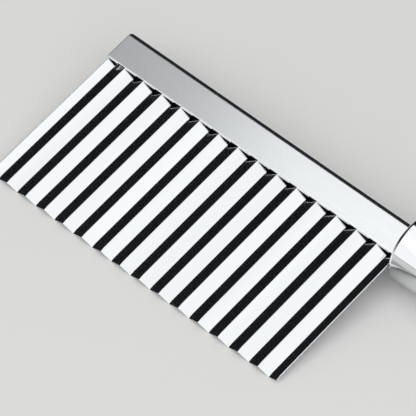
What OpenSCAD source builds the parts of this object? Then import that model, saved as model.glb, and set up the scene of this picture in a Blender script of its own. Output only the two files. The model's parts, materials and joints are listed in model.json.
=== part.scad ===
// Hand-held wavy soap cutter in stainless steel, lying on its side on a flat surface.
// A corrugated blade is seated in a folded spine, whose tang runs into a hollow round handle.
// Millimetres. +X runs from the tip to the butt, +Y towards the back of the spine, +Z is up.
// The origin is on the resting surface, under the middle of the whole tool.
// Each module is drawn in the tool's own frame, with x = 0 at the tip end, y = 0 at the lower
// edge of the spine and z = 0 in the middle of the blade, and lay_down() puts it on the surface.

/* [Blade] */
// Length of the corrugated blade, from its tip end to its handle end
blade_l = 108; // [80:1:130]
// Height of the blade below the spine
blade_h = 48; // [36:1:70]
// Sheet thickness of the blade
blade_t = 0.6; // [0.5:0.05:0.9]
// Length of one wave, crest to crest
wave_p = 7.3; // [6:0.1:10]
// Depth of the waves, from crest to valley of the middle of the sheet
wave_h = 1.4; // [1:0.1:2]
// Radius of each bend, in the middle of the sheet
bend_r = 0.9; // [0.7:0.05:1.3]
// From the tip end of the blade to its first valley
first_valley = 2.8; // [0.5:0.1:5]
// Height of the ground bevel along the cutting edge
bevel_h = 1.4; // [0.8:0.1:3]
// Thickness left at the cutting edge
edge_t = 0.16; // [0.1:0.02:0.3]

/* [Spine] */
// Width of the folded spine, from its lower edge to its back
spine_w = 10.75; // [9:0.25:12]
// Sheet thickness of the spine
spine_t = 1; // [0.8:0.05:1.2]
// Rounding of the pressed lower edges of the two flanges
lip_r = 0.35; // [0.1:0.05:0.4]
// Rounding of the corner where the back of the spine meets its tip end
tip_corner_r = 1.6; // [0.5:0.1:3]
// Length of the tang inside the handle
tang_l = 36; // [20:1:60]
// Chamfer at the free corners of the tang
tang_chamfer = 2.5; // [1:0.25:3.5]

/* [Spot welds] */
// Radius of one spot weld in the hidden flange of the spine
weld_r = 1.2; // [0.8:0.1:1.6]
// Height of the crown of a spot weld over the flange
weld_crown = 0.15; // [0.1:0.05:0.3]
// Waves between one spot weld and the next
weld_every = 2; // [1:1:4]

/* [Handle] */
// Diameter of the handle at its front rim and at its rear swell
handle_d = 21; // [20:0.5:26]
// Length of the handle tube without its butt cap
tube_l = 106; // [90:1:130]
// Wall of the handle tube
handle_wall = 1.2; // [1:0.1:1.4]
// How much thinner the handle's diameter is at its waist
waist_cut = 2; // [0:0.25:2.5]
// From the front rim to the waist
waist_at = 34; // [25:1:45]
// From the front rim to the rear swell
swell_at = 76; // [60:1:85]
// Diameter of the handle where the butt cap starts
butt_d = 17; // [16:0.5:20]
// Height of the handle's axis over the lower edge of the spine
handle_rise = 6.2; // [5.2:0.1:6.6]
// Gap between the blade's handle end and the handle's front rim
blade_end_gap = 0.7; // [0.4:0.1:3]

/* [Front plate] */
// Thickness of the plate that closes the mouth of the handle
plate_t = 1.2; // [1:0.1:2]
// How deep the plate sits behind the front rim
plate_recess = 1.2; // [1:0.1:2]
// Width and height of the weld bead round the tang
bead_w = 0.8; // [0.5:0.05:0.95]

/* [Butt] */
// Length of the domed part of the butt cap
dome_l = 6.5; // [4:0.5:9]
// Length of the cap's sleeve inside the handle tube
sleeve_l = 4; // [3:0.5:5]
// Wall of the butt cap
cap_wall = 1; // [0.8:0.1:1.2]
// From the end of the handle tube to the hanging hole
hole_inset = 11; // [10:0.5:16]
// Bore of the hanging hole
hole_d = 5.5; // [4:0.25:6.5]
// Wall of the eyelet that lines the hanging hole
eyelet_wall = 0.8; // [0.6:0.1:1]
// How far the eyelet's rims stand proud of the handle
eyelet_proud = 0.25; // [0.1:0.05:0.4]

/* [Fits] */
// Clearance between the blade's waves and the inside of the spine
seat_gap = 0.05; // [0.02:0.01:0.1]
// Clearance between the spine, plate, tube, cap and eyelet where they fit together
fit_gap = 0.05; // [0.02:0.01:0.1]

/* [Hidden] */

steel_blade = "#e6e9ec";
steel_spine = "#d3d6d9";
steel_handle = "#dcdfe1";
steel_weld = "#b9b6b0";

// Sizes that follow from the blade
half_wave = wave_p / 2;
bend_steps = 2;
least_step = 0.05;
bend_reach = norm([half_wave, wave_h - 2 * bend_r]);
flank_angle = asin(2 * bend_r / bend_reach) + atan2(wave_h - 2 * bend_r, half_wave);
bend_half = bend_r * sin(flank_angle);
wave_half = (wave_h + blade_t) / 2;
edge_half = (wave_h + edge_t) / 2;

// Sizes that follow from the spine
channel_gap = 2 * (wave_half + seat_gap);
channel_half = channel_gap / 2 + spine_t;
fold_y = spine_w - channel_half;
blade_top = fold_y - seat_gap;
weld_y = blade_top / 2;

// Sizes that follow from the handle
handle_r = handle_d / 2;
waist_r = handle_r - waist_cut / 2;
butt_r = butt_d / 2;
handle_x = blade_l + blade_end_gap;
plate_x = handle_x + plate_recess;
tang_end = plate_x + plate_t + tang_l;
butt_x = handle_x + tube_l;
hole_x = butt_x - hole_inset;
hole_r = hole_d / 2;
eyelet_r = hole_r + eyelet_wall;
total_l = butt_x + dome_l;
round_fn = 96;
profile_steps = 12;
dome_steps = 9;
past = 1;

// The tool lies on the handle's side and on the cutting edge: the surface is the line from
// the lowest point of the edge that touches the handle's circle
edge_reach = blade_h + handle_rise;
lay_angle = asin(handle_r / norm([edge_reach, edge_half])) - atan2(edge_half, edge_reach);
lay_lift = handle_r - handle_rise * sin(lay_angle);
back_y = handle_rise * cos(lay_angle) + handle_r;
front_y = -blade_h * cos(lay_angle) - edge_half * sin(lay_angle);

// Height and slope of the middle of the blade's sheet at x, from arcs and straight flanks
function wave_phase(x) = (x - first_valley) / wave_p - floor((x - first_valley) / wave_p);
function from_valley(x) = wave_p * min(wave_phase(x), 1 - wave_phase(x));
function rise_from_valley(d) =
    d < bend_half ? bend_r - sqrt(bend_r * bend_r - d * d)
    : d > half_wave - bend_half
        ? wave_h - bend_r + sqrt(max(0, bend_r * bend_r - pow(half_wave - d, 2)))
    : bend_r * (1 - cos(flank_angle)) + (d - bend_half) * tan(flank_angle);
function slope_at(d) =
    d < bend_half ? d / sqrt(bend_r * bend_r - d * d)
    : d > half_wave - bend_half
        ? (half_wave - d) / sqrt(bend_r * bend_r - pow(half_wave - d, 2))
    : tan(flank_angle);
function wave_z(x) = rise_from_valley(from_valley(x)) - wave_h / 2;
function sheet_stretch(x) = norm([1, slope_at(from_valley(x))]);

// Places along the blade where its outline has a point: the two ends, and every bend
first_bend = -ceil(first_valley / half_wave);
last_bend = ceil((blade_l - first_valley) / half_wave);
wave_xs = concat(
    [0],
    [for (k = [first_bend : last_bend], i = [-bend_steps : bend_steps])
        let (x = first_valley + k * half_wave + bend_r * sin(flank_angle * i / bend_steps))
        if (x > least_step && x < blade_l - least_step) x],
    [blade_l]
);

// One closed outline of the sheet across its waves, t thick, at height y
function sheet_ring(t, y) = concat(
    [for (x = wave_xs) [x, y, wave_z(x) + t / 2 * sheet_stretch(x)]],
    [for (i = [len(wave_xs) - 1 : -1 : 0])
        let (x = wave_xs[i])
        [x, y, wave_z(x) - t / 2 * sheet_stretch(x)]]
);

// Radius of the handle tube at a distance u from its front rim: smooth from station to station
function ease(a, b, s) = a + (b - a) * (1 - cos(180 * s)) / 2;
function handle_profile(u) =
    u < waist_at ? ease(handle_r, waist_r, u / waist_at)
    : u < swell_at ? ease(waist_r, handle_r, (u - waist_at) / (swell_at - waist_at))
    : ease(handle_r, butt_r, (u - swell_at) / (tube_l - swell_at));
function stations(from, to) = [for (i = [0 : profile_steps]) from + (to - from) * i / profile_steps];
handle_us = concat(
    stations(handle_wall, waist_at),
    [for (u = stations(waist_at, swell_at)) if (u > waist_at) u],
    [for (u = stations(swell_at, tube_l)) if (u > swell_at) u]
);
rim_arc = [for (a = [0 : 15 : 75])
    [handle_r - handle_wall + handle_wall * sin(a), handle_wall - handle_wall * cos(a)]];
function dome_arc(r, l) = [for (i = [0 : dome_steps])
    [r * cos(90 * i / dome_steps), l * sin(90 * i / dome_steps)]];

// Puts a piece drawn in the tool's own frame where the tool lies
module lay_down() {
    translate([-total_l / 2, -(back_y + front_y) / 2, lay_lift])
        rotate([lay_angle, 0, 0])
            children();
}

// Turns a profile of radius against length into a solid round the handle's axis
module around_handle(x) {
    translate([x, handle_rise, 0])
        rotate([0, 90, 0])
            rotate_extrude($fn = round_fn)
                children();
}

// Outline of the folded spine across its length, grown by a margin all round
module channel_outline(margin) {
    translate([-channel_half - margin, -margin])
        square([2 * (channel_half + margin), fold_y + margin]);
    translate([0, fold_y])
        circle(r = channel_half + margin, $fn = round_fn);
}

// The space between the two flanges of the spine, less a margin
module channel_space(margin) {
    half = channel_gap / 2 - margin;
    translate([-half, -past])
        square([2 * half, fold_y + past]);
    translate([0, fold_y])
        circle(r = half, $fn = round_fn);
}

// Cuts one corner of a flange's lower edge round: side is 1 where the metal ends at x, and -1
// where it starts there
module lip_corner(x, side) {
    translate([x - side * lip_r, 0])
        difference() {
            translate([side > 0 ? 0 : -lip_r - past, -past])
                square([lip_r + past, lip_r + past]);
            translate([0, lip_r])
                circle(r = lip_r, $fn = round_fn / 2);
        }
}

// Draws an outline of the spine's cross section along the tool, from x for a length l
module along_tool(x, l) {
    translate([x, 0, 0])
        rotate([0, 90, 0])
            linear_extrude(l)
                children();
}

module blade() {
    rings = [
        sheet_ring(blade_t, blade_top),
        sheet_ring(blade_t, bevel_h - blade_h),
        sheet_ring(edge_t, -blade_h)
    ];
    n = len(rings[0]);
    sides = [for (k = [0 : len(rings) - 2], i = [0 : n - 1])
        let (j = (i + 1) % n)
        each [
            [k * n + i, k * n + j, (k + 1) * n + j],
            [k * n + i, (k + 1) * n + j, (k + 1) * n + i]
        ]];
    top_cap = [for (i = [0 : n / 2 - 2])
        each [[i, n - 1 - i, i + 1], [i + 1, n - 1 - i, n - 2 - i]]];
    m = (len(rings) - 1) * n;
    edge_cap = [for (f = top_cap) [f[2] + m, f[1] + m, f[0] + m]];
    color(steel_blade)
        lay_down()
            polyhedron(points = [for (ring = rings) each ring], faces = concat(sides, top_cap, edge_cap));
}

module spot_weld_places() {
    count = floor((blade_l - first_valley) / wave_p);
    for (k = [1 : weld_every : count - 1])
        translate([first_valley + k * wave_p, weld_y, -channel_half])
            children();
}

// Folded strip: two flanges and a round back, a rounded corner at the tip, and the tang
module spine_channel() {
    corner_y = spine_w - tip_corner_r;
    color(steel_spine)
        lay_down()
            difference() {
                along_tool(0, tang_end)
                    difference() {
                        channel_outline(0);
                        channel_space(0);
                        for (half = [channel_half, -channel_gap / 2])
                            lip_corner(half, 1);
                        for (half = [channel_gap / 2, -channel_half])
                            lip_corner(half, -1);
                    }
                translate([0, corner_y, -channel_half - past])
                    linear_extrude(2 * (channel_half + past))
                        difference() {
                            translate([-past, 0])
                                square([tip_corner_r + past, tip_corner_r + past]);
                            translate([tip_corner_r, 0])
                                circle(r = tip_corner_r, $fn = round_fn);
                        }
                translate([tang_end, 0, 0])
                    for (y = [0, spine_w])
                        translate([0, y, 0])
                            rotate([0, 0, 45])
                                cube([tang_chamfer * sqrt(2), tang_chamfer * sqrt(2),
                                      2 * (channel_half + past)], center = true);
                spot_weld_places()
                    translate([0, 0, -past])
                        cylinder(r = weld_r + fit_gap, h = spine_t + 2 * past, $fn = round_fn / 2);
            }
}

// Welds that join the valleys of the blade to the hidden flange
module spot_welds() {
    color(steel_weld)
        lay_down()
            spot_weld_places() {
                cylinder(r = weld_r, h = spine_t, $fn = round_fn / 2);
                translate([0, 0, -weld_crown])
                    cylinder(r1 = weld_r - 2 * weld_crown, r2 = weld_r, h = weld_crown, $fn = round_fn / 2);
            }
}

// Disc in the mouth of the handle, cut out for the tang, with a tongue between its flanges
module front_plate() {
    plate_r = handle_profile(plate_recess + plate_t) - handle_wall - fit_gap;
    color(steel_handle)
        lay_down()
            difference() {
                translate([plate_x, handle_rise, 0])
                    rotate([0, 90, 0])
                        cylinder(r = plate_r, h = plate_t, $fn = round_fn);
                along_tool(plate_x - past, plate_t + 2 * past)
                    difference() {
                        channel_outline(fit_gap);
                        channel_space(fit_gap);
                    }
            }
}

// Bead that joins the tang to the front plate
module tang_weld() {
    color(steel_weld)
        lay_down()
            along_tool(plate_x - bead_w, bead_w)
                difference() {
                    channel_outline(bead_w);
                    channel_outline(fit_gap / 2);
                }
}

module handle_tube() {
    outer = [for (u = handle_us) [handle_profile(u), u]];
    inner = [for (i = [len(handle_us) - 1 : -1 : 0])
        [handle_profile(handle_us[i]) - handle_wall, handle_us[i]]];
    color(steel_handle)
        lay_down()
            difference() {
                around_handle(handle_x)
                    polygon(concat(rim_arc, outer, inner));
                translate([hole_x, handle_rise, -handle_r - past])
                    cylinder(r = eyelet_r + fit_gap, h = handle_d + 2 * past, $fn = round_fn);
            }
}

// Domed cap with a sleeve that plugs the rear of the handle tube
module butt_cap() {
    sleeve_r = butt_r - handle_wall - fit_gap;
    bore_r = sleeve_r - cap_wall;
    outside = dome_arc(butt_r, dome_l);
    inside = dome_arc(bore_r, dome_l - cap_wall);
    color(steel_handle)
        lay_down()
            around_handle(butt_x)
                polygon(concat(
                    [[bore_r, -sleeve_l], [sleeve_r, -sleeve_l], [sleeve_r, 0]],
                    outside,
                    [for (i = [dome_steps : -1 : 0]) inside[i]]
                ));
}

// Tube that lines the hanging hole and seals the hollow handle
module hang_eyelet() {
    color(steel_handle)
        lay_down()
            difference() {
                intersection() {
                    translate([hole_x, handle_rise, -handle_r])
                        cylinder(r = eyelet_r, h = handle_d, $fn = round_fn);
                    around_handle(handle_x)
                        polygon(concat(
                            [[0, handle_us[0]]],
                            [for (u = handle_us) [handle_profile(u) + eyelet_proud, u]],
                            [[0, tube_l]]
                        ));
                }
                translate([hole_x, handle_rise, -handle_r - past])
                    cylinder(r = hole_r, h = handle_d + 2 * past, $fn = round_fn);
            }
}

blade();
spine_channel();
spot_welds();
front_plate();
tang_weld();
handle_tube();
butt_cap();
hang_eyelet();
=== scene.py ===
"""Dresses the wavy soap cutter: polished sheet, folded spine, round handle, and a soft studio."""

import json
import math

import bmesh
import bpy
from bpy.props import FloatProperty, FloatVectorProperty, IntProperty, PointerProperty
from mathutils import Matrix, Vector


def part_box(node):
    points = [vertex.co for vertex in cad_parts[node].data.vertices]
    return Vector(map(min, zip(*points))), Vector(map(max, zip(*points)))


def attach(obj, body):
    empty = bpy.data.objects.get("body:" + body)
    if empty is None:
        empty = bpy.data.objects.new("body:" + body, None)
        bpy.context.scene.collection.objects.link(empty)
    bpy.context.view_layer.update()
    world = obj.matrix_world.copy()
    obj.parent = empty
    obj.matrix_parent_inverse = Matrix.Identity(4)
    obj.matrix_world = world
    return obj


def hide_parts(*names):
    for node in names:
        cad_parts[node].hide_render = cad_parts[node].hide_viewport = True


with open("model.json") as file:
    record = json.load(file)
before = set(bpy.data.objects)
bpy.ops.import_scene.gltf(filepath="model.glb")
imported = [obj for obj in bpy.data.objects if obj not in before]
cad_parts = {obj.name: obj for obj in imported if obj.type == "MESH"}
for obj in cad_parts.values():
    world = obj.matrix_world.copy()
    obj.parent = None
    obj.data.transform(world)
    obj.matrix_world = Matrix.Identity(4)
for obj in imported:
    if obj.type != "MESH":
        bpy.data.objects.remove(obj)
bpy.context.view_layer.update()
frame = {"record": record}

bl_info = {
    "name": "Wavy Soap Cutter",
    "version": (1, 0, 0),
    "blender": (4, 5, 0),
    "location": "View3D > Sidebar > Cutter",
    "description": "Builds the polished pieces of a wavy soap cutter and the studio round it",
    "category": "Object",
}

MM = 0.001
BODY = "root"

# How far a pattern is drawn out along the tool's x, y and z
BLADE_DRAW = (1.0, 40.0, 1.0)
SPINE_DRAW = (40.0, 1.0, 1.0)
HANDLE_DRAW = (30.0, 1.0, 1.0)
NO_DRAW = (1.0, 1.0, 1.0)

# Scales of the patterns, for places in metres, and the depths of their relief
BROAD_LINES = 220.0
FINE_LINES = 2600.0
WELD_MOTTLE = 1400.0
MATT_MOTTLE = 30.0
LINE_DEPTH = 0.01 * MM
WELD_DEPTH = 0.05 * MM

# How much the patterns change the roughness, and the strength of the weld's relief
LINE_SWING = 0.5
WELD_SWING = 0.6
WELD_RELIEF = 0.25
MATT_ROUGHNESS = 0.9

# Sockets of the node that mixes two colours
MIX_FACTOR, MIX_LOW, MIX_HIGH, MIX_RESULT = 0, 6, 7, 2

# Points closer together than the first are one point, and the second is the least length drawn
DOUBLED = 0.002 * MM
LEAST = 0.01 * MM

# The tool's own frame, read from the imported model: x from the tip, y towards the back, z off the blade
hole_mount = frame["record"]["mounts"][0]
lay_angle = math.atan2(-hole_mount["axis"][1], hole_mount["axis"][2])
hole_centre = Vector(hole_mount["pos_m"])
blade_low, blade_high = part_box("blade")
tube_low, tube_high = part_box("handle_tube")
cap_low, cap_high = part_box("butt_cap")
spine_low, spine_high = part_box("spine_channel")


def length_property(name, default, description):
    """A size in metres with its name, default and description."""
    return FloatProperty(name=name, default=default, description=description, unit="LENGTH",
                         subtype="DISTANCE", precision=5)


def share_property(name, default, description):
    """A share from 0 to 1 with its name, default and description."""
    return FloatProperty(name=name, default=default, description=description, min=0.0, max=1.0,
                         subtype="FACTOR")


def angle_property(name, degrees, description):
    """An angle, given in degrees, with its name and description."""
    return FloatProperty(name=name, default=math.radians(degrees), description=description,
                         unit="ROTATION", subtype="ANGLE")


def tint_property(name, default, description):
    """A colour with its name, default and description."""
    return FloatVectorProperty(name=name, default=default, description=description,
                               subtype="COLOR", size=3, min=0.0, max=1.0)


class CutterSizes(bpy.types.PropertyGroup):
    """Real sizes of the cutter's pieces."""

    blade_l: length_property("Blade length", blade_high.x - blade_low.x,
                             "From the blade's tip end to its handle end")
    blade_h: length_property("Blade height", 48 * MM, "Height of the blade below the spine")
    blade_t: length_property("Blade sheet", 0.6 * MM, "Thickness of the blade's sheet")
    wave_p: length_property("Wave pitch", 7.3 * MM, "From one crest of the blade to the next")
    wave_h: length_property("Wave depth", 1.4 * MM, "From crest to valley of the sheet's middle")
    bend_r: length_property("Bend radius", 0.9 * MM, "Radius of each bend in the sheet's middle")
    first_valley: length_property("First valley", 2.8 * MM, "From the tip end to the first valley")
    bevel_h: length_property("Edge bevel", 1.4 * MM, "Height of the ground bevel")
    edge_t: length_property("Cutting edge", 0.16 * MM, "Thickness left at the cutting edge")
    hone_h: length_property("Honed edge", 0.2 * MM, "Height of the fine second bevel at the edge")
    end_ease: length_property("Blade ends", 0.32 * MM, "Rounding of the blade's cut ends")
    spine_l: length_property("Spine length", spine_high.x - spine_low.x,
                             "From the spine's tip end to the end of its tang")
    spine_w: length_property("Spine width", 10.75 * MM, "From the spine's lower edge to its back")
    spine_t: length_property("Spine sheet", 1.0 * MM, "Thickness of the spine's sheet")
    seat_gap: length_property("Seat clearance", 0.05 * MM, "Between the waves and the flanges")
    tip_corner_r: length_property("Tip corner", 1.6 * MM, "Rounding of the spine's tip corner")
    tang_chamfer: length_property("Tang chamfer", 2.5 * MM, "Chamfer at the end of the tang")
    lip_r: length_property("Lip rounding", 0.35 * MM, "Rounding of the flanges' lower edges")
    lip_in_r: length_property("Inner lip rounding", 0.12 * MM,
                              "Rounding of the lower edges towards the blade")
    edge_ease: length_property("Eased ends", 0.22 * MM, "Rounding of the spine's cut ends")
    weld_r: length_property("Spot weld", 1.2 * MM, "Radius of one spot weld")
    weld_crown: length_property("Weld crown", 0.15 * MM, "Height of a spot weld over the flange")
    weld_every: IntProperty(name="Weld spacing", default=2, min=1,
                            description="Waves between one spot weld and the next")
    handle_x: length_property("Handle place", tube_low.x - blade_low.x,
                              "From the tip end to the handle's front rim")
    handle_r: length_property("Handle radius", (tube_high.z - tube_low.z) / 2,
                              "Radius at the front rim and at the rear swell")
    butt_r: length_property("Butt radius", (cap_high.z - cap_low.z) / 2,
                            "Radius where the butt cap starts")
    tube_l: length_property("Tube length", tube_high.x - tube_low.x,
                            "Length of the handle tube without its cap")
    handle_rise: length_property("Axis height", 6.2 * MM, "Handle's axis over the spine's edge")
    handle_wall: length_property("Tube wall", 1.2 * MM, "Wall of the handle tube")
    waist_cut: length_property("Waist", 2.0 * MM, "How much thinner the handle is at its waist")
    waist_at: length_property("Waist place", 34 * MM, "From the front rim to the waist")
    swell_at: length_property("Swell place", 76 * MM, "From the front rim to the rear swell")
    dome_l: length_property("Dome", 6.5 * MM, "Length of the domed part of the butt cap")
    sleeve_l: length_property("Sleeve", 4.0 * MM, "Length of the cap's sleeve in the tube")
    cap_wall: length_property("Cap wall", 1.0 * MM, "Wall of the butt cap")
    seam: length_property("Seam", 0.07 * MM, "Depth of the fine groove between tube and cap")
    plate_recess: length_property("Plate recess", 1.2 * MM, "Front plate's depth behind the rim")
    plate_t: length_property("Plate", 1.2 * MM, "Thickness of the front plate")
    bead_w: length_property("Weld bead", 0.8 * MM, "Width of the bead round the tang")
    bead_step: length_property("Bead ripple", 0.9 * MM, "From one ripple of the bead to the next")
    hole_x: length_property("Hole place", hole_centre.x - blade_low.x,
                            "From the tip end to the hanging hole")
    hole_r: length_property("Hanging hole", hole_mount["dims"]["r_mm"] * MM,
                            "Radius of the hanging hole")
    eyelet_wall: length_property("Eyelet wall", 0.8 * MM, "Wall of the hanging hole's eyelet")
    eyelet_proud: length_property("Eyelet rim", 0.25 * MM, "How far the eyelet stands proud")
    fit_gap: length_property("Fit clearance", 0.05 * MM, "Between pieces that fit together")


class CutterFinish(bpy.types.PropertyGroup):
    """Colours and gloss of the steel."""

    blade_tint: tint_property("Blade tint", (0.79, 0.81, 0.82), "Colour of the blade's steel")
    spine_tint: tint_property("Spine tint", (0.83, 0.855, 0.87), "Colour of the spine's steel")
    handle_tint: tint_property("Handle tint", (0.795, 0.81, 0.82), "Colour of the handle's steel")
    weld_tint: tint_property("Weld tint", (0.55, 0.52, 0.48), "Colour of the weld metal")
    blade_gloss: share_property("Blade roughness", 0.07, "Roughness of the polished blade")
    spine_gloss: share_property("Spine roughness", 0.17, "Roughness of the polished spine")
    handle_gloss: share_property("Handle roughness", 0.05, "Roughness of the polished handle")
    weld_gloss: share_property("Weld roughness", 0.38, "Roughness of the weld metal")


class StudioSettings(bpy.types.PropertyGroup):
    """The floor, the lamps and the camera."""

    azimuth: angle_property("Azimuth", 44.405, "Where the camera stands round the object")
    elevation: angle_property("Elevation", 49.867, "How high the camera looks from")
    roll: angle_property("Roll", -1.424, "Turn of the camera about its own axis")
    distance: length_property("Distance", 929.3 * MM, "From the camera to the point it looks at")
    target_x: length_property("Target", -57.6 * MM, "Point of the X axis in the picture's middle")
    lens: FloatProperty(name="Lens", default=291.2, min=1.0,
                        description="Focal length in millimetres on a sensor 36 mm wide")
    floor_tint: tint_property("Floor", (0.84, 0.84, 0.83), "Colour of the pale floor")
    backdrop: tint_property("Backdrop", (0.47, 0.47, 0.47), "Colour of the room round the floor")
    overhead_level: FloatProperty(name="Overhead panel", default=0.72, min=0.0,
                                  description="Brightness of the overhead panel over the room")
    side_level: FloatProperty(name="Side panel", default=0.68, min=0.0,
                              description="Brightness of the side panel over the room")


class Wire:
    """A socket of a shader, on which Python's operators build Math nodes."""

    def __init__(self, tree, socket):
        self.tree = tree
        self.socket = socket

    def _math(self, operation, first, second):
        node = self.tree.nodes.new("ShaderNodeMath")
        node.operation = operation
        for place, value in enumerate((first, second)):
            if isinstance(value, Wire):
                self.tree.links.new(value.socket, node.inputs[place])
            else:
                node.inputs[place].default_value = value
        return Wire(self.tree, node.outputs[0])

    def __add__(self, other):
        return self._math("ADD", self, other)

    def __mul__(self, other):
        return self._math("MULTIPLY", self, other)


class Finish:
    """A material under construction: one method adds any node."""

    def __init__(self, name):
        self.material = bpy.data.materials.new(name)
        self.material.use_nodes = True
        self.tree = self.material.node_tree
        self.tree.nodes.clear()
        self.shader = self.tree.nodes.new("ShaderNodeBsdfPrincipled")
        output = self.tree.nodes.new("ShaderNodeOutputMaterial")
        self.tree.links.new(self.shader.outputs["BSDF"], output.inputs["Surface"])

    def node(self, kind, settings=None, inputs=None, output=0):
        """Adds a node of a type, sets it up, feeds its sockets and returns one output."""
        node = self.tree.nodes.new(kind)
        for key, value in (settings or {}).items():
            if key == "stops":
                self.set_stops(node.color_ramp, value)
            else:
                setattr(node, key, value)
        for key, value in (inputs or {}).items():
            self.feed(node.inputs[key], value)
        return Wire(self.tree, node.outputs[output])

    def set_stops(self, ramp, stops):
        """Gives a colour ramp its stops, each a place and a colour."""
        while len(ramp.elements) < len(stops):
            ramp.elements.new(1.0)
        for element, (place, colour) in zip(ramp.elements, stops):
            element.position = place
            element.color = (*colour, 1.0)

    def feed(self, socket, value):
        """Links a wire to a socket, or sets a plain value on it."""
        if isinstance(value, Wire):
            self.tree.links.new(value.socket, socket)
        else:
            socket.default_value = value

    def drawn_out(self, stretch):
        """Places on the piece along the tool's own axes, drawn out along each by a factor."""
        place = self.node("ShaderNodeTexCoord", output="Object")
        return self.node("ShaderNodeMapping", {"vector_type": "TEXTURE"}, {
            "Vector": place, "Rotation": (lay_angle, 0.0, 0.0), "Scale": stretch})

    def noise(self, stretch, scale, detail=3.0, roughness=0.5):
        """Noise drawn out along an axis, as polishing belts leave it."""
        return self.node("ShaderNodeTexNoise", inputs={
            "Vector": self.drawn_out(stretch), "Scale": scale, "Detail": detail,
            "Roughness": roughness})

    def between(self, factor, low, high):
        """A colour between two, by a factor."""
        return self.node("ShaderNodeMix", {"data_type": "RGBA"}, {
            MIX_FACTOR: factor, MIX_LOW: (*low, 1.0), MIX_HIGH: (*high, 1.0)}, output=MIX_RESULT)

    def bump(self, height, strength, distance):
        """A normal from a height."""
        return self.node("ShaderNodeBump", inputs={
            "Strength": strength, "Distance": distance, "Height": height})

    def done(self, **sockets):
        """Feeds the shader's own sockets and returns the material."""
        for key, value in sockets.items():
            self.feed(self.shader.inputs[key.replace("_", " ")], value)
        return self.material


def shade(tint, level):
    """A colour darker or lighter than the given one."""
    return tuple(min(1.0, channel * level) for channel in tint)


def swung(pattern, level, swing):
    """A level that a pattern from 0 to 1 lowers and raises by up to half of the swing's share."""
    return (pattern * swing + (1.0 - swing / 2)) * level


def belt_polished_steel(name, tint, gloss, stretch, streaks, scratch):
    """Stainless steel with long, faint polishing lines drawn along one axis."""
    steel = Finish(name)
    broad = steel.noise(stretch, BROAD_LINES, detail=2.0)
    fine = steel.noise(stretch, FINE_LINES, detail=4.0, roughness=0.6)
    colour = steel.between(broad, shade(tint, 1.0 - streaks), shade(tint, 1.0 + streaks / 2))
    return steel.done(Base_Color=colour, Metallic=1.0, Roughness=swung(fine, gloss, LINE_SWING),
                      Normal=steel.bump(fine, scratch, LINE_DEPTH))


def weld_metal(name, tint, gloss):
    """Dressed weld metal, mottled and lightly tinted by heat."""
    weld = Finish(name)
    mottle = weld.noise(NO_DRAW, WELD_MOTTLE, detail=5.0)
    colour = weld.node("ShaderNodeValToRGB", {"stops": (
        (0.3, shade(tint, 0.8)), (0.55, tint), (0.75, shade(tint, 1.25)))}, {"Fac": mottle})
    return weld.done(Base_Color=colour, Metallic=1.0, Roughness=swung(mottle, gloss, WELD_SWING),
                     Normal=weld.bump(mottle, WELD_RELIEF, WELD_DEPTH))


def matt(name, tint, change):
    """A plain matt surface with a faint change of tone."""
    surface = Finish(name)
    tone = surface.noise(NO_DRAW, MATT_MOTTLE)
    colour = surface.between(tone, shade(tint, 1.0 - change), shade(tint, 1.0 + change))
    return surface.done(Base_Color=colour, Roughness=MATT_ROUGHNESS)


def handle_steel():
    """The handle's polished steel, made once and shared by its pieces."""
    finish = bpy.context.scene.cutter_finish
    name = "round_polished_steel"
    made = bpy.data.materials.get(name)
    return made or belt_polished_steel(name, finish.handle_tint, finish.handle_gloss,
                                       HANDLE_DRAW, streaks=0.03, scratch=0.01)


def weld_steel():
    """The weld metal, made once and shared by the welds."""
    finish = bpy.context.scene.cutter_finish
    name = "dressed_weld_metal"
    made = bpy.data.materials.get(name)
    return made or weld_metal(name, finish.weld_tint, finish.weld_gloss)


def lay_down(point, rise):
    """A point of the tool's own frame, put where the tool lies."""
    x, y, z = point
    up = y - rise
    c, s = math.cos(lay_angle), math.sin(lay_angle)
    return (blade_low.x + x, hole_centre.y + up * c - z * s, hole_centre.z + up * s + z * c)


def soften(mesh, crease):
    """Joins doubled points, turns all faces outwards and keeps edges over the crease sharp."""
    work = bmesh.new()
    work.from_mesh(mesh)
    bmesh.ops.remove_doubles(work, verts=work.verts, dist=DOUBLED)
    bmesh.ops.recalc_face_normals(work, faces=work.faces)
    limit = math.radians(crease)
    for face in work.faces:
        face.smooth = True
    for edge in work.edges:
        edge.smooth = len(edge.link_faces) == 2 and edge.calc_face_angle(0.0) < limit
    work.to_mesh(mesh)
    work.free()


def add_piece(name, shape, material, node, crease=30.0):
    """Makes a piece from points and faces in the tool's own frame, in place of a CAD node."""
    points, faces = shape
    rise = bpy.context.scene.cutter_sizes.handle_rise
    mesh = bpy.data.meshes.new(name)
    mesh.from_pydata([lay_down(p, rise) for p in points], [], faces)
    soften(mesh, crease)
    mesh.materials.append(material)
    piece = bpy.data.objects.new(name, mesh)
    bpy.context.scene.collection.objects.link(piece)
    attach(piece, BODY)
    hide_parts(node)
    return piece


def skin(rings, looped=False):
    """Points and faces of a surface through closed rings of equal length, open at its ends."""
    n = len(rings[0])
    points = [p for ring in rings for p in ring]
    faces = []
    for k in range(len(rings) if looped else len(rings) - 1):
        a, b = k * n, (k + 1) % len(rings) * n
        for i in range(n):
            j = (i + 1) % n
            faces.append((a + i, a + j, b + j, b + i))
    return points, faces


def quarter_turn(steps):
    """Angles from 0 to a quarter turn, in even steps."""
    return [math.pi / 2 * i / steps for i in range(steps + 1)]


def fold_closed(first, n):
    """Faces that close a ring of a strip, whose second half runs back along its first."""
    return [(first + i, first + i + 1, first + n - 2 - i, first + n - 1 - i)
            for i in range(n // 2 - 1)]


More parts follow.
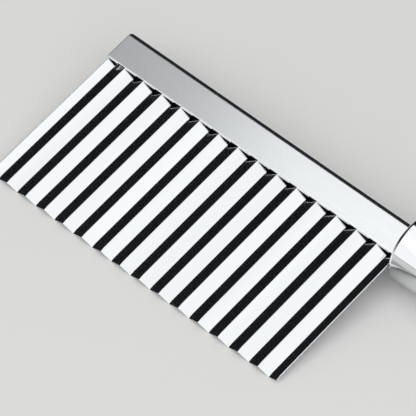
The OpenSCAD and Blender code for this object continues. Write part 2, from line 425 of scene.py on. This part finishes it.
class Wave:
    """The middle line of the corrugated sheet: arcs at the crests and valleys, flat flanks."""

    # Where a flat flank has points, as shares of it
    FLANK_PLACES = (0.04, 0.5, 0.96)
    # Rounding of a cut end: its steps, the space kept clear behind it, its most in thicknesses
    END_STEPS = 5
    END_MARGIN = 0.03 * MM
    END_SHARE = 0.4

    def __init__(self, sizes):
        self.sizes = sizes
        self.half = sizes.wave_p / 2
        drop = sizes.wave_h - 2 * sizes.bend_r
        reach = math.hypot(self.half, drop)
        self.flank = math.asin(2 * sizes.bend_r / reach) + math.atan2(drop, self.half)
        self.bend = sizes.bend_r * math.sin(self.flank)

    def height_and_slope(self, x):
        """Height of the sheet's middle over the mean, and the slope there."""
        r, h = self.sizes.bend_r, self.sizes.wave_h
        phase = ((x - self.sizes.first_valley) / self.sizes.wave_p) % 1.0
        side = 1.0 if phase < 0.5 else -1.0
        d = self.sizes.wave_p * min(phase, 1.0 - phase)
        e = self.half - d
        if d < self.bend:
            height, slope = r - math.sqrt(r * r - d * d), d / math.sqrt(r * r - d * d)
        elif e < self.bend:
            height, slope = h - r + math.sqrt(r * r - e * e), e / math.sqrt(r * r - e * e)
        else:
            slope = math.tan(self.flank)
            height = r * (1 - math.cos(self.flank)) + (d - self.bend) * slope
        return height - h / 2, side * slope

    def places(self, length, bend_steps):
        """Where the outline has points: close together in the bends, few on the flanks."""
        found = []
        flat = self.half - 2 * self.bend
        first = -math.ceil(self.sizes.first_valley / self.half)
        last = math.ceil((length - self.sizes.first_valley) / self.half)
        for k in range(first, last + 1):
            middle = self.sizes.first_valley + k * self.half
            for i in range(-bend_steps, bend_steps + 1):
                found.append(middle + self.sizes.bend_r * math.sin(self.flank * i / bend_steps))
            for share in self.FLANK_PLACES:
                found.append(middle + self.bend + flat * share)
        ease = self.sizes.end_ease
        near = [ease * (1 - math.cos(a)) for a in quarter_turn(self.END_STEPS)]
        ends = near + [length - x for x in near]
        clear = ease + self.END_MARGIN
        return sorted(ends + [x for x in found if clear < x < length - clear])

    def end_drop(self, x, length, thickness):
        """How much the rounding of the nearer cut end takes off each face at x."""
        ease = min(self.sizes.end_ease, thickness * self.END_SHARE)
        inside = min(x, length - x) / self.sizes.end_ease
        return ease - ease * math.sqrt(1.0 - max(0.0, 1.0 - inside) ** 2)

    def ring(self, xs, thickness, y):
        """The closed outline of the sheet across its waves, at height y."""
        top, bottom = [], []
        for x in xs:
            z, slope = self.height_and_slope(x)
            half = thickness / 2 * math.hypot(1.0, slope) - self.end_drop(x, xs[-1], thickness)
            top.append((x, y, z + half))
            bottom.append((x, y, z - half))
        return top + bottom[::-1]


def channel_half(sizes):
    """Half the outside thickness of the folded spine."""
    return (sizes.wave_h + sizes.blade_t) / 2 + sizes.seat_gap + sizes.spine_t


def channel_line(sizes, half, foot, breaks, steps):
    """One side of the folded strip as y and z: up a flange, round the fold and down again."""
    fold_y = sizes.spine_w - channel_half(sizes)
    straight = [y for y in breaks if foot < y < fold_y]
    arc = [(fold_y + half * math.sin(math.pi * i / steps), half * math.cos(math.pi * i / steps))
           for i in range(steps + 1)]
    up = [(foot, half)] + [(y, half) for y in straight]
    return up + arc + [(y, -z) for y, z in up[::-1]]


def channel_ring(sizes, shrink, breaks):
    """The closed section of the folded strip with eased lips, made thinner all round."""
    half, t, lip = channel_half(sizes), sizes.spine_t, sizes.lip_r
    lip_steps, fold_steps = 8, 32
    corner = quarter_turn(lip_steps)
    low = max(sizes.lip_in_r, shrink + LEAST)
    rest, left = lip - shrink, low - shrink
    lip_out = [(lip - rest * math.cos(a), half - lip + rest * math.sin(a)) for a in corner]
    lip_in = [(low - left * math.cos(a), half - t + low - left * math.sin(a)) for a in corner]
    outer = channel_line(sizes, half - shrink, lip, breaks, fold_steps)[1:-1]
    inner = channel_line(sizes, half - t + shrink, low, breaks, fold_steps)[1:-1]
    out = lip_out + outer + [(y, -z) for y, z in lip_out[::-1]]
    back = lip_in + inner + [(y, -z) for y, z in lip_in[::-1]]
    return out + back[::-1]


def handle_radius(sizes, u):
    """Radius of the handle at a distance u from its front rim: smooth from place to place."""
    def ease(a, b, s):
        return a + (b - a) * (1 - math.cos(math.pi * s)) / 2

    waist_r = sizes.handle_r - sizes.waist_cut / 2
    if u < sizes.waist_at:
        return ease(sizes.handle_r, waist_r, u / sizes.waist_at)
    if u < sizes.swell_at:
        return ease(waist_r, sizes.handle_r,
                    (u - sizes.waist_at) / (sizes.swell_at - sizes.waist_at))
    rest = min(1.0, (u - sizes.swell_at) / (sizes.tube_l - sizes.swell_at))
    return ease(sizes.handle_r, sizes.butt_r, rest)


def turned(sizes, profile, x0, steps):
    """Rings round the handle's axis, from pairs of radius and length."""
    turn = 2 * math.pi / steps
    return [[(x0 + u, sizes.handle_rise + r * math.cos(turn * i), r * math.sin(turn * i))
             for i in range(steps)] for r, u in profile]


class PiercedTube:
    """A turned surface with round holes through its top and bottom, and clean faces round them."""

    # Rows of faces between a patch's border and its hole, and how much they gather at the hole
    PATCH_ROWS = 7
    PATCH_GATHER = 1.4

    def __init__(self, sizes, steps):
        self.sizes = sizes
        self.steps = steps
        self.points = []
        self.faces = []

    def surface(self, profile, inset, hole_u, hole_r, reach, columns, angles=None):
        """Adds one surface and returns its first ring, last ring, hole edges and their angles."""
        n, base = self.steps, len(self.points)
        for ring in turned(self.sizes, profile, self.sizes.handle_x, n):
            self.points.extend(ring)
        inside = [k for k, (r, u) in enumerate(profile) if abs(u - hole_u) < reach + LEAST]
        low, high = min(inside), max(inside)
        centres = (n // 4, 3 * n // 4)

        def in_patch(k, i):
            return low <= k < high and any(c - columns <= i < c + columns for c in centres)

        for k in range(len(profile) - 1):
            for i in range(n):
                if not in_patch(k, i):
                    j = (i + 1) % n
                    self.faces.append((base + k * n + i, base + k * n + j,
                                       base + (k + 1) * n + j, base + (k + 1) * n + i))
        edges, found = [], []
        for side, centre in zip((1.0, -1.0), centres):
            first, last = centre - columns, centre + columns
            loop = [(k, first) for k in range(low, high)]
            loop += [(high, i) for i in range(first, last)]
            loop += [(k, last) for k in range(high, low, -1)]
            loop += [(low, i) for i in range(last, first, -1)]
            border = [base + k * n + i for k, i in loop]
            around = angles[len(edges)] if angles else self.directions(border, hole_u)
            edges.append(self.patch(border, around, side, inset, hole_u, hole_r))
            found.append(around)
        start, end = base, base + (len(profile) - 1) * n
        return list(range(start, start + n)), list(range(end, end + n)), edges, found

    def directions(self, border, hole_u):
        """Direction from the hole's axis to each point of a patch's border."""
        x0, y0 = self.sizes.handle_x + hole_u, self.sizes.handle_rise
        return [math.atan2(self.points[p][1] - y0, self.points[p][0] - x0) for p in border]

    def patch(self, border, around, side, inset, hole_u, hole_r):
        """Fills the space between a patch's border and its round hole."""
        x0, y0 = self.sizes.handle_x + hole_u, self.sizes.handle_rise
        previous = border
        for row in range(1, self.PATCH_ROWS + 1):
            share = 1.0 - (1.0 - row / self.PATCH_ROWS) ** self.PATCH_GATHER
            current = []
            for p, a in zip(border, around):
                px, py, _ = self.points[p]
                x = px + (x0 + hole_r * math.cos(a) - px) * share
                y = py + (y0 + hole_r * math.sin(a) - py) * share
                r = handle_radius(self.sizes, x - self.sizes.handle_x) - inset
                current.append(len(self.points))
                self.points.append((x, y, side * math.sqrt(r * r - (y - y0) ** 2)))
            self.join(previous, current)
            previous = current
        return previous

    def join(self, first, second):
        """Adds the faces between two closed loops of points."""
        n = len(first)
        for i in range(n):
            j = (i + 1) % n
            self.faces.append((first[i], first[j], second[j], second[i]))


class CUTTER_OT_blade(bpy.types.Operator):
    """Forms the corrugated blade with its ground cutting edge"""

    bl_idname = "cutter.blade"
    bl_label = "Blade"

    ROWS = 8
    BEND_STEPS = 7

    def execute(self, context):
        sizes, finish = context.scene.cutter_sizes, context.scene.cutter_finish
        wave = Wave(sizes)
        xs = wave.places(sizes.blade_l, self.BEND_STEPS)
        top = sizes.spine_w - channel_half(sizes) - sizes.seat_gap
        bevel_y = sizes.bevel_h - sizes.blade_h
        rings = [wave.ring(xs, sizes.blade_t, top + (bevel_y - top) * i / self.ROWS)
                 for i in range(self.ROWS + 1)]
        hone_t = sizes.edge_t + (sizes.blade_t - sizes.edge_t) * sizes.hone_h / sizes.bevel_h
        rings.append(wave.ring(xs, hone_t, sizes.hone_h - sizes.blade_h))
        rings.append(wave.ring(xs, sizes.edge_t / 2, -sizes.blade_h))
        points, faces = skin(rings)
        n = len(rings[0])
        faces += fold_closed(0, n) + fold_closed((len(rings) - 1) * n, n)
        steel = belt_polished_steel("fluted_blade_steel", finish.blade_tint, finish.blade_gloss,
                                    BLADE_DRAW, streaks=0.12, scratch=0.01)
        add_piece("corrugated_blade", (points, faces), steel, "blade", crease=8.0)
        return {"FINISHED"}


class CUTTER_OT_spine(bpy.types.Operator):
    """Folds the spine round the top of the blade and runs its tang into the handle"""

    bl_idname = "cutter.spine"
    bl_label = "Spine"

    STATIONS = 24
    EASE_STEPS = 4
    # Height of the lowest points on a flat flange
    FLANGE_BREAK = 0.5 * MM
    # How many times the rounding the full section starts behind a cut end
    FULL_FROM = 1.4

    def tip_x(self, sizes, y):
        """How far the rounded corner sets the spine's tip end back at height y."""
        r = sizes.tip_corner_r
        over = min(r, max(0.0, y - (sizes.spine_w - r)))
        return r - math.sqrt(r * r - over * over)

    def end_x(self, sizes, y):
        """Where the chamfered tang ends at height y."""
        cut = sizes.tang_chamfer
        return sizes.spine_l - max(0.0, cut - y) - max(0.0, y - (sizes.spine_w - cut))

    def execute(self, context):
        sizes, finish = context.scene.cutter_sizes, context.scene.cutter_finish
        ease, cut = sizes.edge_ease, sizes.tang_chamfer
        breaks = [self.FLANGE_BREAK, cut, sizes.spine_w / 2, sizes.spine_w - cut]
        rings = []
        for a in quarter_turn(self.EASE_STEPS):
            section = channel_ring(sizes, ease * (1 - math.sin(a)), breaks)
            rings.append([(self.tip_x(sizes, y) + ease * (1 - math.cos(a)), y, z)
                          for y, z in section])
        section = channel_ring(sizes, 0.0, breaks)
        full = self.FULL_FROM * ease
        rings.append([(self.tip_x(sizes, y) + full, y, z) for y, z in section])
        start, end = 2 * sizes.tip_corner_r, sizes.spine_l - 2 * cut
        for i in range(self.STATIONS + 1):
            rings.append([(start + (end - start) * i / self.STATIONS, y, z) for y, z in section])
        rings.append([(self.end_x(sizes, y) - full, y, z) for y, z in section])
        for a in quarter_turn(self.EASE_STEPS):
            section = channel_ring(sizes, ease * (1 - math.cos(a)), breaks)
            rings.append([(self.end_x(sizes, y) - ease * (1 - math.sin(a)), y, z)
                          for y, z in section])
        points, faces = skin(rings)
        n = len(section)
        faces += fold_closed(0, n) + fold_closed((len(rings) - 1) * n, n)
        steel = belt_polished_steel("folded_spine_steel", finish.spine_tint, finish.spine_gloss,
                                    SPINE_DRAW, streaks=0.04, scratch=0.03)
        add_piece("folded_spine", (points, faces), steel, "spine_channel",
                  crease=28.0)
        return {"FINISHED"}


class CUTTER_OT_spot_welds(bpy.types.Operator):
    """Presses the spot welds that hold the blade's valleys to the hidden flange"""

    bl_idname = "cutter.spot_welds"
    bl_label = "Spot welds"

    STEPS_ROUND = 40
    # Shares of the radius and of the crown, from the middle outwards and back underneath
    PROFILE = ((0.0, 0.55), (0.3, 0.6), (0.5, 0.85), (0.65, 1.0), (0.8, 0.9), (0.92, 0.45),
               (1.0, -0.2), (0.5, -0.4), (0.0, -0.4))

    def execute(self, context):
        sizes = context.scene.cutter_sizes
        top = sizes.spine_w - channel_half(sizes) - sizes.seat_gap
        count = int((sizes.blade_l - sizes.first_valley) / sizes.wave_p)
        turn = [2 * math.pi * i / self.STEPS_ROUND for i in range(self.STEPS_ROUND)]
        points, faces = [], []
        for k in range(1, count, sizes.weld_every):
            x = sizes.first_valley + k * sizes.wave_p
            rings = []
            for share, height in self.PROFILE:
                r, z = share * sizes.weld_r, -channel_half(sizes) - height * sizes.weld_crown
                rings.append([(x + r * math.cos(a), top / 2 + r * math.sin(a), z) for a in turn])
            new_points, new_faces = skin(rings)
            base = len(points)
            points += new_points
            faces += [tuple(base + p for p in face) for face in new_faces]
        add_piece("spot_weld_marks", (points, faces), weld_steel(), "spot_welds",
                  crease=40.0)
        return {"FINISHED"}


class CUTTER_OT_front_plate(bpy.types.Operator):
    """Cuts the plate that closes the handle's mouth round the tang"""

    bl_idname = "cutter.front_plate"
    bl_label = "Front plate"

    BEVEL = 0.1 * MM
    BEVEL_STEPS = 2
    STEPS_ROUND = 128
    FOLD_STEPS = 32

    def execute(self, context):
        sizes = context.scene.cutter_sizes
        seat_u = sizes.plate_recess + sizes.plate_t
        grow = sizes.fit_gap + self.BEVEL
        plate_r = handle_radius(sizes, seat_u) - sizes.handle_wall - grow
        half = channel_half(sizes)
        fold_y = sizes.spine_w - half
        around = [2 * math.pi * i / self.STEPS_ROUND for i in range(self.STEPS_ROUND)]
        disc = [(plate_r * math.sin(a), sizes.handle_rise + plate_r * math.cos(a))
                for a in around]
        outer, inner = half + grow, half - sizes.spine_t - grow
        turn = [math.pi * i / self.FOLD_STEPS for i in range(self.FOLD_STEPS + 1)]
        slot = [(-outer, -grow)]
        slot += [(-outer * math.cos(a), fold_y + outer * math.sin(a)) for a in turn]
        slot += [(outer, -grow), (inner, -grow)]
        slot += [(inner * math.cos(a), fold_y + inner * math.sin(a)) for a in turn]
        slot += [(-inner, -grow)]
        curve = bpy.data.curves.new("plate_outline", "CURVE")
        curve.dimensions = "2D"
        curve.fill_mode = "BOTH"
        curve.extrude = sizes.plate_t / 2 - self.BEVEL
        curve.bevel_depth = self.BEVEL
        curve.bevel_resolution = self.BEVEL_STEPS
        for outline in (disc, slot):
            spline = curve.splines.new("POLY")
            spline.points.add(len(outline) - 1)
            for point, (x, y) in zip(spline.points, outline):
                point.co = (x, y, 0.0, 1.0)
            spline.use_cyclic_u = True
        holder = bpy.data.objects.new("plate_outline", curve)
        blank = bpy.data.meshes.new_from_object(holder)
        middle = sizes.handle_x + sizes.plate_recess + sizes.plate_t / 2
        points = [(middle + v.co.z, v.co.y, v.co.x) for v in blank.vertices]
        faces = [tuple(face.vertices) for face in blank.polygons]
        bpy.data.objects.remove(holder)
        bpy.data.curves.remove(curve)
        bpy.data.meshes.remove(blank)
        add_piece("mouth_plate", (points, faces), handle_steel(), "front_plate")
        return {"FINISHED"}


class CUTTER_OT_tang_weld(bpy.types.Operator):
    """Runs the rippled weld bead round the tang, against the front plate"""

    bl_idname = "cutter.tang_weld"
    bl_label = "Tang weld"

    SIDE_STEPS = 14
    FOLD_STEPS = 24
    CORNER_STEPS = 5
    UNDER_STEPS = 8
    ARC_STEPS = 7
    # Share of the bead's width that its ripples take off
    RIPPLE = 0.1

    def path(self, sizes):
        """The spine's outline as points with their outward directions."""
        half = channel_half(sizes)
        fold_y = sizes.spine_w - half
        up = [(fold_y * i / self.SIDE_STEPS, -half, 0.0, -1.0) for i in range(self.SIDE_STEPS)]
        fold = [math.pi * i / self.FOLD_STEPS for i in range(self.FOLD_STEPS + 1)]
        over = [(fold_y + half * math.sin(a), -half * math.cos(a), math.sin(a), -math.cos(a))
                for a in fold]
        down = [(y, -z, ny, -nz) for y, z, ny, nz in up[::-1]]
        corner = quarter_turn(self.CORNER_STEPS)
        near = [(0.0, half, -math.sin(a), math.cos(a)) for a in corner[1:]]
        under = [(0.0, half - 2 * half * i / self.UNDER_STEPS, -1.0, 0.0)
                 for i in range(1, self.UNDER_STEPS)]
        far = [(0.0, -half, -math.cos(a), -math.sin(a)) for a in corner[:-1]]
        return up + over + down + near + under + far

    def execute(self, context):
        sizes = context.scene.cutter_sizes
        plate_x = sizes.handle_x + sizes.plate_recess
        arc = quarter_turn(self.ARC_STEPS)
        rings, run, before = [], 0.0, None
        for y, z, ny, nz in self.path(sizes):
            if before:
                run += math.hypot(y - before[0], z - before[1])
            before = (y, z)
            ripple = abs(math.sin(math.pi * run / sizes.bead_step))
            w = sizes.bead_w * (1.0 - self.RIPPLE + self.RIPPLE * ripple)
            ring = [(plate_x - w * math.cos(a), y + ny * w * math.sin(a),
                     z + nz * w * math.sin(a)) for a in arc]
            rings.append(ring + [(plate_x, y, z)])
        add_piece("tang_bead", skin(rings, looped=True), weld_steel(),
                  "tang_weld", crease=60.0)
        return {"FINISHED"}


class CUTTER_OT_handle(bpy.types.Operator):
    """Spins the hollow handle tube and pierces it for the hanging hole"""

    bl_idname = "cutter.handle"
    bl_label = "Handle tube"

    STATIONS = 90
    RIM_STEPS = 18
    STEPS_ROUND = 128
    # The patch round the hole: half its length, the space kept clear of rings beyond it,
    # half its width in columns and half its length in rings
    PATCH_REACH = 5.5 * MM
    PATCH_SPARE = 0.4 * MM
    PATCH_COLUMNS = 14
    PATCH_STEPS = 6
    # Place of a ring close behind the rim, which keeps the rim's shading off the straight wall
    BEHIND_RIM = 0.05 * MM

    def execute(self, context):
        sizes = context.scene.cutter_sizes
        wall, hole_u = sizes.handle_wall, sizes.hole_x - sizes.handle_x
        hole_r = sizes.hole_r + sizes.eyelet_wall + sizes.fit_gap
        reach = self.PATCH_REACH
        us = [wall + (sizes.tube_l - wall) * i / self.STATIONS for i in range(self.STATIONS + 1)]
        us.insert(1, wall + self.BEHIND_RIM)
        us = [u for u in us if abs(u - hole_u) > reach + self.PATCH_SPARE]
        us = sorted(us + [hole_u + reach * i / self.PATCH_STEPS
                          for i in range(-self.PATCH_STEPS, self.PATCH_STEPS + 1)])
        rim = [(sizes.handle_r - wall + wall * math.sin(a), wall - wall * math.cos(a))
               for a in quarter_turn(self.RIM_STEPS)[:-1]]
        outer = rim + [(handle_radius(sizes, u), u) for u in us[:-1]]
        outer += [(sizes.butt_r, sizes.tube_l - sizes.seam),
                  (sizes.butt_r - sizes.seam, sizes.tube_l)]
        inner = [(handle_radius(sizes, u) - wall, u) for u in [0.0] + us]
        tube = PiercedTube(sizes, self.STEPS_ROUND)
        front_out, rear_out, holes_out, angles = tube.surface(
            outer, 0.0, hole_u, hole_r, reach, self.PATCH_COLUMNS)
        front_in, rear_in, holes_in, _ = tube.surface(
            inner, wall, hole_u, hole_r, reach, self.PATCH_COLUMNS, angles)
        tube.join(front_out, front_in)
        tube.join(rear_out, rear_in)
        for out, into in zip(holes_out, holes_in):
            tube.join(out, into)
        add_piece("handle_shell", (tube.points, tube.faces), handle_steel(),
                  "handle_tube", crease=35.0)
        return {"FINISHED"}


class CUTTER_OT_butt_cap(bpy.types.Operator):
    """Spins the domed cap and the sleeve that plugs the rear of the handle"""

    bl_idname = "cutter.butt_cap"
    bl_label = "Butt cap"

    DOME_STEPS = 24
    STEPS_ROUND = 96

    def execute(self, context):
        sizes = context.scene.cutter_sizes
        sleeve_r = sizes.butt_r - sizes.handle_wall - sizes.fit_gap
        bore_r, seam = sleeve_r - sizes.cap_wall, sizes.seam
        dome = quarter_turn(self.DOME_STEPS)
        profile = [(sizes.butt_r * math.sin(a), seam + (sizes.dome_l - seam) * math.cos(a))
                   for a in dome]
        profile += [(sizes.butt_r - seam, 0.0), (sleeve_r, 0.0),
                    (sleeve_r, -sizes.sleeve_l), (bore_r, -sizes.sleeve_l)]
        profile += [(bore_r * math.sin(a), (sizes.dome_l - sizes.cap_wall) * math.cos(a))
                    for a in dome[::-1]]
        rings = turned(sizes, profile, sizes.handle_x + sizes.tube_l, self.STEPS_ROUND)
        add_piece("domed_cap", skin(rings), handle_steel(), "butt_cap",
                  crease=35.0)
        return {"FINISHED"}


class CUTTER_OT_eyelet(bpy.types.Operator):
    """Flares the eyelet that lines the hanging hole over both sides of the handle"""

    bl_idname = "cutter.eyelet"
    bl_label = "Hanging eyelet"

    RIM_STEPS = 12
    STEPS_ROUND = 72
    # Shares of the surface's height at which the eyelet's walls have points
    WALL_LEVELS = (0.75, 0.4, 0.0, -0.4, -0.75)

    def surface_z(self, sizes, x, y):
        """Height of the handle's surface over its axis, at x along the tool and y off the axis."""
        r = handle_radius(sizes, x - sizes.handle_x) + sizes.eyelet_proud
        return math.sqrt(r * r - y * y)

    def execute(self, context):
        sizes = context.scene.cutter_sizes
        bore, outside = sizes.hole_r, sizes.hole_r + sizes.eyelet_wall
        lip = sizes.eyelet_wall / 2
        arc = [math.pi * i / self.RIM_STEPS for i in range(self.RIM_STEPS + 1)]
        rim = [(bore + lip + lip * math.cos(a), lip * (1 - math.sin(a)) / 2) for a in arc]
        rings = []
        for i in range(self.STEPS_ROUND):
            turn = 2 * math.pi * i / self.STEPS_ROUND
            ring = []
            for side, run in ((1.0, rim), (-1.0, rim[::-1])):
                for r, drop in run:
                    dx, dy = r * math.cos(turn), r * math.sin(turn)
                    z = side * (self.surface_z(sizes, sizes.hole_x + dx, dy) - drop)
                    ring.append((sizes.hole_x + dx, sizes.handle_rise + dy, z))
                last = bore if side > 0 else outside
                for level in self.WALL_LEVELS if side > 0 else self.WALL_LEVELS[::-1]:
                    dx, dy = last * math.cos(turn), last * math.sin(turn)
                    z = level * self.surface_z(sizes, sizes.hole_x + dx, dy)
                    ring.append((sizes.hole_x + dx, sizes.handle_rise + dy, z))
            rings.append(ring)
        add_piece("hole_eyelet", skin(rings, looped=True), handle_steel(),
                  "hang_eyelet", crease=40.0)
        return {"FINISHED"}


class CUTTER_OT_studio(bpy.types.Operator):
    """Sets the pale floor, the soft lamps and the camera"""

    bl_idname = "cutter.studio"
    bl_label = "Studio"

    SENSOR_WIDTH = 36.0
    NEAR_CLIP = 10 * MM
    FLOOR_RADIUS = 3.0
    FLOOR_STEPS = 64
    # Each dark cloth, in metres: its start and end on the floor, and its height
    TIP_FLAG = ((-0.9, -0.9), (-0.9, 0.5), 1.15)
    BACK_FLAG = ((-0.9, 0.5), (0.35, 0.5), 1.35)
    CLOTH_TINT = (0.003, 0.004, 0.007)
    # Each lamp, in metres: its centre, the point it faces, its width and its depth
    OVERHEAD = ((0.81, -0.835, 1.0), (0.81, -0.835, 0.0), 2.78, 2.33)
    SIDE = ((-0.61, -1.04, 1.08), (0.12, -0.09, 1.08), 0.6, 2.05)

    def add_sheet(self, name, corners, material):
        """Adds a flat stage sheet from its corners."""
        mesh = bpy.data.meshes.new(name)
        mesh.from_pydata(corners, [], [tuple(range(len(corners)))])
        mesh.materials.append(material)
        sheet = bpy.data.objects.new(name, mesh)
        bpy.context.scene.collection.objects.link(sheet)
        return sheet

    def add_flag(self, name, start, end, height, cloth):
        """Hangs a dark cloth that only the steel's reflections see."""
        (x0, y0), (x1, y1) = start, end
        flag = self.add_sheet(name, [(x0, y0, 0.0), (x1, y1, 0.0), (x1, y1, height),
                                     (x0, y0, height)], cloth)
        flag.visible_camera = False
        flag.visible_shadow = False
        flag.visible_diffuse = False

    def add_panel(self, name, centre, aim, width, depth, level):
        """Adds a soft area lamp of a size, whose face is as bright as the level."""
        lamp = bpy.data.lights.new(name, "AREA")
        lamp.shape = "RECTANGLE"
        lamp.size, lamp.size_y = width, depth
        lamp.energy = math.pi * width * depth * level
        holder = bpy.data.objects.new(name, lamp)
        holder.location = centre
        holder.rotation_euler = (Vector(aim) - Vector(centre)).to_track_quat("-Z", "Y").to_euler()
        holder.visible_camera = False
        bpy.context.scene.collection.objects.link(holder)

    def add_camera(self, studio):
        """Places the camera by azimuth, elevation, roll and distance."""
        a, e, roll = studio.azimuth, studio.elevation, studio.roll
        back = Vector((math.sin(a) * math.cos(e), -math.cos(a) * math.cos(e), math.sin(e)))
        level = Vector((math.cos(a), math.sin(a), 0.0))
        right = level * math.cos(roll) + back.cross(level) * math.sin(roll)
        up = back.cross(right)
        place = Vector((studio.target_x, 0.0, 0.0)) + back * studio.distance
        camera = bpy.data.cameras.new("camera")
        camera.sensor_width = self.SENSOR_WIDTH
        camera.lens = studio.lens
        camera.clip_start = self.NEAR_CLIP
        holder = bpy.data.objects.new("camera", camera)
        turn = Matrix((right, up, back)).transposed()
        holder.matrix_world = Matrix.Translation(place) @ turn.to_4x4()
        bpy.context.scene.collection.objects.link(holder)
        bpy.context.scene.camera = holder

    def execute(self, context):
        studio = context.scene.cutter_studio
        floor = matt("pale_floor", studio.floor_tint, change=0.01)
        around = [2 * math.pi * i / self.FLOOR_STEPS for i in range(self.FLOOR_STEPS)]
        rim = [(self.FLOOR_RADIUS * math.cos(a), self.FLOOR_RADIUS * math.sin(a), 0.0)
               for a in around]
        self.add_sheet("floor", rim, floor)
        cloth = matt("dark_cloth", self.CLOTH_TINT, change=0.1)
        self.add_flag("tip_flag", *self.TIP_FLAG, cloth)
        self.add_flag("back_flag", *self.BACK_FLAG, cloth)
        self.add_panel("overhead_panel", *self.OVERHEAD, studio.overhead_level)
        self.add_panel("side_panel", *self.SIDE, studio.side_level)
        world = bpy.data.worlds.new("room")
        world.use_nodes = True
        world.node_tree.nodes["Background"].inputs["Color"].default_value = (*studio.backdrop, 1.0)
        context.scene.world = world
        context.scene.view_settings.view_transform = "Standard"
        self.add_camera(studio)
        return {"FINISHED"}


class CUTTER_PT_panel(bpy.types.Panel):
    """Sizes, finishes and steps of the cutter"""

    bl_idname = "CUTTER_PT_panel"
    bl_label = "Wavy cutter"
    bl_space_type = "VIEW_3D"
    bl_region_type = "UI"
    bl_category = "Cutter"

    def draw(self, context):
        for step in STEPS:
            self.layout.operator(step.bl_idname, text=step.bl_label)
        for group in (context.scene.cutter_sizes, context.scene.cutter_finish,
                      context.scene.cutter_studio):
            box = self.layout.box()
            for name in group.__annotations__:
                box.prop(group, name)


STEPS = (CUTTER_OT_studio, CUTTER_OT_blade, CUTTER_OT_spine, CUTTER_OT_spot_welds,
         CUTTER_OT_front_plate, CUTTER_OT_tang_weld, CUTTER_OT_handle, CUTTER_OT_butt_cap,
         CUTTER_OT_eyelet)
GROUPS = (CutterSizes, CutterFinish, StudioSettings)


def register():
    """Makes the groups, steps and panel known to Blender."""
    for kind in GROUPS + STEPS + (CUTTER_PT_panel,):
        bpy.utils.register_class(kind)
    bpy.types.Scene.cutter_sizes = PointerProperty(type=CutterSizes)
    bpy.types.Scene.cutter_finish = PointerProperty(type=CutterFinish)
    bpy.types.Scene.cutter_studio = PointerProperty(type=StudioSettings)


def unregister():
    """Takes the groups, steps and panel away again."""
    del bpy.types.Scene.cutter_studio
    del bpy.types.Scene.cutter_finish
    del bpy.types.Scene.cutter_sizes
    for kind in reversed(GROUPS + STEPS + (CUTTER_PT_panel,)):
        bpy.utils.unregister_class(kind)


def main():
    """Builds every piece and the studio."""
    register()
    bpy.ops.cutter.studio()
    bpy.ops.cutter.blade()
    bpy.ops.cutter.spine()
    bpy.ops.cutter.spot_welds()
    bpy.ops.cutter.front_plate()
    bpy.ops.cutter.tang_weld()
    bpy.ops.cutter.handle()
    bpy.ops.cutter.butt_cap()
    bpy.ops.cutter.eyelet()


if __name__ == "__main__":
    main()
